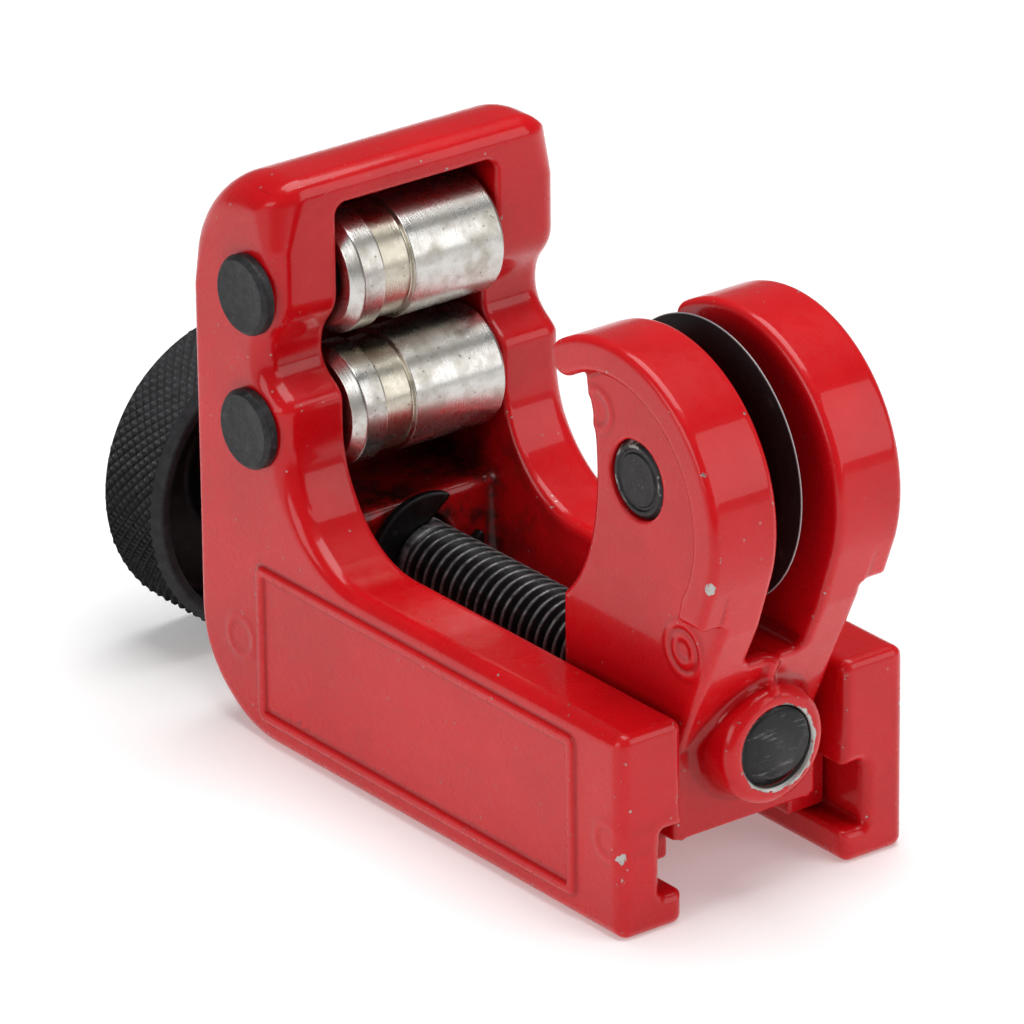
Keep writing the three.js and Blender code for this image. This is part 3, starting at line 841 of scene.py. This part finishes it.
class Surface:
    """A principled material whose nodes are added by short calls."""

    def __init__(self, name, **sockets):
        self.material = bpy.data.materials.new(name)
        self.material.use_nodes = True
        self.tree = self.material.node_tree
        self.shader = self.tree.nodes["Principled BSDF"]
        for socket, value in sockets.items():
            self.shader.inputs[socket.replace("_", " ")].default_value = value
        coordinates = self.tree.nodes.new("ShaderNodeTexCoord")
        scale = self.tree.nodes.new("ShaderNodeVectorMath")
        scale.operation = "SCALE"
        scale.inputs["Scale"].default_value = 1 / MM
        self.tree.links.new(coordinates.outputs["Object"], scale.inputs[0])
        self.place = scale.outputs[0]
        self.heights = []

    def feed(self, socket, value):
        if isinstance(value, bpy.types.NodeSocket):
            self.tree.links.new(value, socket)
        else:
            socket.default_value = value

    def math(self, operation, *values, clamp=False):
        node = self.tree.nodes.new("ShaderNodeMath")
        node.operation, node.use_clamp = operation, clamp
        for socket, value in zip(node.inputs, values):
            self.feed(socket, value)
        return node.outputs[0]

    def product(self, *values):
        total = values[0]
        for value in values[1:]:
            total = self.math("MULTIPLY", total, value)
        return total

    def length(self, a, b):
        return self.math("SQRT", self.math("ADD", self.product(a, a), self.product(b, b)))

    def axes(self):
        node = self.tree.nodes.new("ShaderNodeSeparateXYZ")
        self.feed(node.inputs[0], self.place)
        return node.outputs[0], node.outputs[1], node.outputs[2]

    def stretched(self, x, y, z):
        node = self.tree.nodes.new("ShaderNodeVectorMath")
        node.operation = "MULTIPLY"
        self.feed(node.inputs[0], self.place)
        node.inputs[1].default_value = (x, y, z)
        return node.outputs[0]

    def noise(self, scale, detail=2.0, roughness=0.5, place=None, shift=0.0):
        node = self.tree.nodes.new("ShaderNodeTexNoise")
        node.noise_dimensions = "4D"
        self.feed(node.inputs["Vector"], place or self.place)
        node.inputs["W"].default_value = shift
        node.inputs["Scale"].default_value = scale
        node.inputs["Detail"].default_value = detail
        node.inputs["Roughness"].default_value = roughness
        return node.outputs["Fac"]

    def cells(self, scale):
        """Distance to the nearest of a scatter of points."""
        node = self.tree.nodes.new("ShaderNodeTexVoronoi")
        node.feature = "F1"
        self.feed(node.inputs["Vector"], self.place)
        node.inputs["Scale"].default_value = scale
        node.inputs["Randomness"].default_value = 1.0
        return node.outputs["Distance"]

    def value(self, name):
        node = self.tree.nodes.new("ShaderNodeAttribute")
        node.attribute_name = name
        return node.outputs["Fac"]

    def fit(self, value, low, high, start=0.0, end=1.0, smooth=True):
        """Maps low...high onto start...end and stays there beyond."""
        node = self.tree.nodes.new("ShaderNodeMapRange")
        node.interpolation_type = "SMOOTHSTEP" if smooth else "LINEAR"
        for socket, number in zip(node.inputs, (value, low, high, start, end)):
            self.feed(socket, number)
        return node.outputs[0]

    def blend(self, share, first, second):
        node = self.tree.nodes.new("ShaderNodeMix")
        node.data_type = "RGBA"
        self.feed(node.inputs["Factor"], share)
        for socket, value in ((node.inputs[6], first), (node.inputs[7], second)):
            self.feed(socket, value)
        return node.outputs[2]

    def near(self, centre, radius, soft):
        """One inside a ball about a point, fading to nothing over the soft distance."""
        node = self.tree.nodes.new("ShaderNodeVectorMath")
        node.operation = "DISTANCE"
        self.feed(node.inputs[0], self.place)
        node.inputs[1].default_value = centre
        return self.fit(node.outputs["Value"], radius, radius + soft, 1.0, 0.0)

    def raise_by(self, height, depth):
        """Adds a height, whose depth is in millimetres, to the bump."""
        self.heights.append(self.math("MULTIPLY", height, depth))

    def paint(self, colour, roughness, metallic=None):
        self.feed(self.shader.inputs["Base Color"], colour)
        self.feed(self.shader.inputs["Roughness"], roughness)
        if metallic is not None:
            self.feed(self.shader.inputs["Metallic"], metallic)
        total = self.heights[0]
        for height in self.heights[1:]:
            total = self.math("ADD", total, height)
        bump = self.tree.nodes.new("ShaderNodeBump")
        bump.inputs["Distance"].default_value = MM
        bump.inputs["Strength"].default_value = 1.0
        self.feed(bump.inputs["Height"], total)
        self.feed(self.shader.inputs["Normal"], bump.outputs["Normal"])
        return self.material


def rgb(*levels):
    """A colour given as sRGB levels from 0 to 255."""
    linear = [((v / 255 + 0.055) / 1.055) ** 2.4 if v > 10 else v / 255 / 12.92 for v in levels]
    return (*linear, 1.0)


RED = rgb(204, 10, 20)
RED_DEEP = rgb(160, 3, 10)
RED_THIN = rgb(208, 34, 38)
BARE_ZINC = rgb(176, 174, 170)


CHIPS = [((28.4, -12.45, 6.2), 0.15, 0.9), ((32.8, -8.25, 26.7), 0.1, 1.0)]
GREASE = ((-12.0, 2.0, 14.0), 5.0, 8.0)
# The dark red of the painted shade on the window's walls.
WINDOW_SHADE = rgb(70, 4, 6)
GREASE_BROWN = rgb(44, 24, 20)


def bare_ring(s, ragged):
    """The ragged ring of bare metal round the screw's end, widest low on the far side."""
    x, y, z = s.axes()
    across = s.math("SUBTRACT", z, SCREW_AXIS[1])
    uneven = s.fit(s.noise(0.9, 3.0, 0.6, shift=12.0), 0.3, 0.7, -0.2, 0.2, smooth=False)
    lean = s.product(s.math("SUBTRACT", y, across), 0.04)
    width = s.math("SUBTRACT", s.length(y, across), s.math("ADD", uneven, lean))
    on_face = s.fit(x, BOSS_FACE - 0.6, BOSS_FACE - 0.4)
    return s.product(s.fit(width, 3.15, 3.22, 1.0, 0.0), on_face, s.fit(ragged, 0.3, 0.42))


def bare_spots(s, bend, grit, rare):
    """Where the zinc shows: specks, nicks along the edges, the chips and the ring."""
    on_edge = s.fit(bend, 0.3, 1.0, 0.45, 1.0)
    speck = s.product(s.fit(grit, 0.07, 0.1, 1.0, 0.0), rare, on_edge)
    nick = s.noise(1.9, 4.0, 0.65, shift=15.0)
    nick = s.product(s.fit(nick, 0.66, 0.68), s.fit(bend, 0.55, 1.0))
    ragged = s.noise(3.2, 3.0, 0.6, shift=2.0)
    first, second = (s.near(*chip) for chip in CHIPS)
    chip = s.fit(s.product(s.math("ADD", first, second), ragged), 0.32, 0.36)
    large = s.math("MAXIMUM", chip, bare_ring(s, ragged))
    return s.math("MAXIMUM", large, s.math("MAXIMUM", speck, nick), clamp=True)


def in_channel(s, edge):
    return s.fit(s.math("ABSOLUTE", s.axes()[1]), edge, 7.3, 1.0, 0.0)


def window_shade_mask(s):
    """One on the walls of the window behind the rollers, where the red is darkened as painted shade.
    """
    x, _, z = s.axes()
    behind = s.math("MAXIMUM", s.math("SUBTRACT", BODY_BACK + SHOULDER_RADIUS, x), 0.0)
    above = s.math("MAXIMUM", s.math("SUBTRACT", z, ARM_TOP - SHOULDER_RADIUS), 0.0)
    inside = s.fit(s.length(behind, above), 5.9, 6.2, 1.0, 0.0)
    under_bridge = s.fit(z, WINDOW_TOP + 0.3, WINDOW_TOP)
    return s.product(in_channel(s, 6.9), s.fit(x, -11.0, -13.5), inside, under_bridge)


def red_enamel():
    """Gloss enamel on a zinc casting: darker in the creases as painted shade, thin and chipped along
    the edges.
    """
    s = Surface(
        "red_enamel", Specular_IOR_Level=0.16, Coat_Weight=0.4, Coat_Roughness=0.05, Coat_IOR=1.5,
    )
    bend = s.value("curvature")
    # Painted shade: one where the curvature is concave, in the creases.
    crease_shade = s.fit(bend, 0.05, -1.2)
    edge = s.fit(bend, 0.7, 2.6)
    cloud = s.noise(0.12, 3.0, 0.55)
    grit = s.cells(0.85)
    rare = s.fit(s.noise(0.8, 2.0, 0.5, shift=9.0), 0.54, 0.56)
    bare = bare_spots(s, bend, grit, rare)
    colour = s.blend(s.fit(cloud, 0.3, 0.7, 0.0, 0.35), RED, RED_DEEP)
    # Painted shade: the red darkens towards the deep red in the concave creases.
    colour = s.blend(s.product(crease_shade, 0.65), colour, RED_DEEP)
    colour = s.blend(s.product(edge, s.noise(0.5, 3.0, 0.6, shift=4.0)), colour, RED_THIN)
    # Painted shade: the walls of the window behind the rollers are darkened to a deep red.
    colour = s.blend(s.product(window_shade_mask(s), s.fit(cloud, 0.3, 0.7, 0.5, 0.8)), colour, WINDOW_SHADE)
    smudge = s.fit(s.noise(0.4, 4.0, 0.65, shift=21.0), 0.4, 0.62, 0.25, 0.95)
    colour = s.blend(s.product(s.near(*GREASE), in_channel(s, 6.8), smudge), colour, GREASE_BROWN)
    colour = s.blend(bare, colour, BARE_ZINC)
    gloss = s.fit(s.noise(0.9, 4.0, 0.6, shift=7.0), 0.3, 0.75, 0.24, 0.36)
    gloss = s.math("ADD", gloss, s.product(bare, 0.12))
    bump = s.product(s.fit(grit, 0.02, 0.11, 1.0, 0.0), s.fit(rare, 0.0, 1.0, 0.25, 1.0))
    s.raise_by(s.noise(0.3, 2.0, 0.5, shift=1.0), 0.035)
    s.raise_by(s.noise(2.4, 3.0, 0.55, shift=3.0), 0.0035)
    s.raise_by(bump, 0.02)
    s.raise_by(bare, -0.04)
    return s.paint(colour, gloss, s.product(bare, 0.9))


def zinc_plate():
    """Bright turned steel with fine rings, dull stains and small pits."""
    s = Surface("zinc_plate", Metallic=1.0)
    rings = s.noise(9.0, 3.0, 0.7, place=s.stretched(0.04, 1.0, 0.04))
    stain = s.noise(0.5, 4.0, 0.62, shift=2.0)
    smear = s.noise(1.0, 3.0, 0.6, place=s.stretched(0.9, 0.35, 0.9), shift=5.0)
    pit = s.product(s.fit(s.cells(1.9), 0.07, 0.14, 1.0, 0.0), s.fit(stain, 0.5, 0.56))
    colour = s.blend(s.fit(stain, 0.4, 0.75), rgb(200, 198, 194), rgb(164, 158, 146))
    colour = s.blend(s.fit(smear, 0.5, 0.8, 0.0, 0.4), colour, rgb(150, 147, 141))
    y = s.axes()[1]
    near, far = ROLLER_GROOVE
    groove = s.product(s.fit(y, near - 0.1, near + 0.1), s.fit(y, far - 0.1, far + 0.1, 1.0, 0.0))
    colour = s.blend(s.product(groove, 0.5), colour, rgb(188, 178, 152))
    colour = s.blend(s.product(pit, 0.7), colour, rgb(92, 84, 72))
    gloss = s.fit(stain, 0.35, 0.7, 0.18, 0.3)
    gloss = s.math("ADD", gloss, s.product(rings, 0.1))
    s.raise_by(rings, 0.012)
    s.raise_by(smear, 0.003)
    s.raise_by(pit, -0.03)
    return s.paint(colour, gloss)


def blackened(name, base, worn_and_glint, gloss, wear, grain, depth):
    """Black oxide on steel: its shades, its range of roughness, and the wear, which is a function; on
    the knob and the axle end the worn colour also paints a glint.
    """
    s = Surface(name, Metallic=0.4, Specular_IOR_Level=0.4)
    cloud = s.noise(grain, 4.0, 0.65)
    fine = s.noise(grain * 5, 3.0, 0.6, shift=3.0)
    share = wear(s, cloud)
    lighter = (*(c * 2.1 for c in base[:3]), 1.0)
    colour = s.blend(s.fit(cloud, 0.35, 0.7), base, lighter)
    # Worn colour: real wear, and on the knob and the axle end also a painted glint.
    colour = s.blend(share, colour, worn_and_glint)
    s.raise_by(cloud, depth)
    s.raise_by(fine, depth * 0.35)
    return s.paint(colour, s.fit(fine, 0.3, 0.7, *gloss))


def away_from(s, axis, centre):
    """Distance from a line along X or Y through a centre."""
    x, y, z = s.axes()
    level = s.math("SUBTRACT", y if axis == "x" else x, centre[0])
    return s.length(level, s.math("SUBTRACT", z, centre[1]))


def pin_wear(s, cloud):
    scuff = s.noise(0.9, 4.0, 0.7, shift=8.0)
    return s.product(s.fit(scuff, 0.56, 0.7), 0.5)


def knob_wear_and_glint(s, cloud):
    # Lighter on the knurl's peaks: partly worn oxide, partly a painted glint.
    peak = s.fit(s.value("height"), 0.8, 1.0)
    return s.product(peak, s.fit(s.noise(0.6, 3.0, 0.6, shift=6.0), 0.4, 0.75, 0.1, 0.6))


def screw_wear(s, cloud):
    crest = s.fit(away_from(s, "x", SCREW_AXIS), 2.84, 2.94)
    crest = s.product(crest, s.fit(cloud, 0.3, 0.62, 0.1, 0.5))
    scratch = s.noise(1.1, 4.0, 0.7, place=s.stretched(1.0, 0.5, 3.0), shift=17.0)
    face = s.fit(s.axes()[0], BOSS_FACE - 0.4, BOSS_FACE - 0.2)
    return s.math("MAXIMUM", crest, s.product(face, s.fit(scratch, 0.55, 0.75, 0.0, 0.5)))


def clip_wear(s, cloud):
    return s.fit(cloud, 0.58, 0.75, 0.0, 0.3)


def axle_wear_and_glint(s, cloud):
    # A bright ragged rim, partly rubbed metal and partly a painted glint; then worn spots across the
    # end.
    rim = s.fit(away_from(s, "y", WHEEL_AXIS), 2.2, 2.4)
    rim = s.product(rim, s.fit(s.noise(0.9, 3.0, 0.6, shift=5.0), 0.52, 0.6))
    return s.math("MAXIMUM", rim, s.fit(s.noise(2.0, 4.0, 0.7, shift=8.0), 0.62, 0.72, 0.0, 0.5))


def wheel_wear(s, cloud):
    edge = s.fit(away_from(s, "y", WHEEL_AXIS), 10.1, 10.17)
    return s.math("MAXIMUM", edge, s.fit(cloud, 0.62, 0.8, 0.0, 0.12))


looks = {
    "red": red_enamel(),
    "zinc": zinc_plate(),
    "pin": blackened(
        "black_pin", rgb(34, 34, 36), rgb(96, 96, 98), gloss=(0.42, 0.62),
        wear=pin_wear, grain=1.4, depth=0.035,
    ),
    "knob": blackened(
        "knob_black", rgb(27, 27, 29), rgb(112, 113, 116), gloss=(0.42, 0.62),
        wear=knob_wear_and_glint, grain=1.1, depth=0.03,
    ),
    "screw": blackened(
        "screw_black", rgb(15, 15, 16), rgb(150, 150, 152), gloss=(0.25, 0.42),
        wear=screw_wear, grain=1.8, depth=0.02,
    ),
    "clip": blackened(
        "clip_black", rgb(14, 14, 15), rgb(92, 86, 80), gloss=(0.3, 0.45),
        wear=clip_wear, grain=1.2, depth=0.02,
    ),
    "axle": blackened(
        "axle_black", rgb(30, 30, 32), rgb(150, 148, 144), gloss=(0.35, 0.55),
        wear=axle_wear_and_glint, grain=1.4, depth=0.05,
    ),
    "wheel": blackened(
        "wheel_black", rgb(14, 14, 15), rgb(170, 170, 172), gloss=(0.3, 0.45),
        wear=wheel_wear, grain=0.9, depth=0.01,
    ),
}
for made, look in [
    (body, "red"), (jaw, "red"), *((r, "zinc") for r in rollers), *((p, "pin") for p in pins),
    (axle, "axle"), (wheel, "wheel"), (washer, "clip"), (cross_pin, "clip"), (clip, "clip"),
    (screw, "screw"), (knob, "knob"),
]:
    made.data.materials.clear()
    made.data.materials.append(looks[look])

# ---------------------------------------------------------------------------------------------
# Stage: floor and soft light
# ---------------------------------------------------------------------------------------------


FLOOR_HALF = 3000
LIGHT_AIM = Vector((0, 0, 0.02))


def make_floor():
    corners = [(x * FLOOR_HALF, y * FLOOR_HALF, 0) for x, y in ((-1, -1), (1, -1), (1, 1), (-1, 1))]
    floor = new_mesh("floor", corners, [(0, 1, 2, 3)])
    look = bpy.data.materials.new("floor_pale")
    look.use_nodes = True
    shader = look.node_tree.nodes["Principled BSDF"]
    shader.inputs["Base Color"].default_value = (0.85, 0.85, 0.85, 1)
    shader.inputs["Roughness"].default_value = 0.7
    shader.inputs["Emission Color"].default_value = (1, 1, 1, 1)
    shader.inputs["Emission Strength"].default_value = 0.25
    floor.data.materials.append(look)


def area_light(name, place, size, power):
    data = bpy.data.lights.new(name, "AREA")
    data.shape = "RECTANGLE"
    data.size, data.size_y = size
    data.energy = power
    light = bpy.data.objects.new(name, data)
    light.location = place
    light.rotation_euler = (LIGHT_AIM - Vector(place)).to_track_quat("-Z", "Y").to_euler()
    bpy.context.scene.collection.objects.link(light)


def make_world(level):
    world = bpy.data.worlds.new("studio")
    world.use_nodes = True
    background = world.node_tree.nodes["Background"]
    background.inputs["Color"].default_value = (1, 1, 1, 1)
    background.inputs["Strength"].default_value = level
    bpy.context.scene.world = world


make_floor()
make_world(level=0.18)
area_light("overhead", (0.0, 0.05, 0.5), size=(0.4, 0.4), power=2.4)
area_light("left_panel", (0.05, -0.5, 0.22), size=(0.35, 0.25), power=0.8)
area_light("right_panel", (0.45, 0.25, 0.25), size=(0.3, 0.4), power=0.8)
bpy.context.scene.view_settings.view_transform = "Standard"
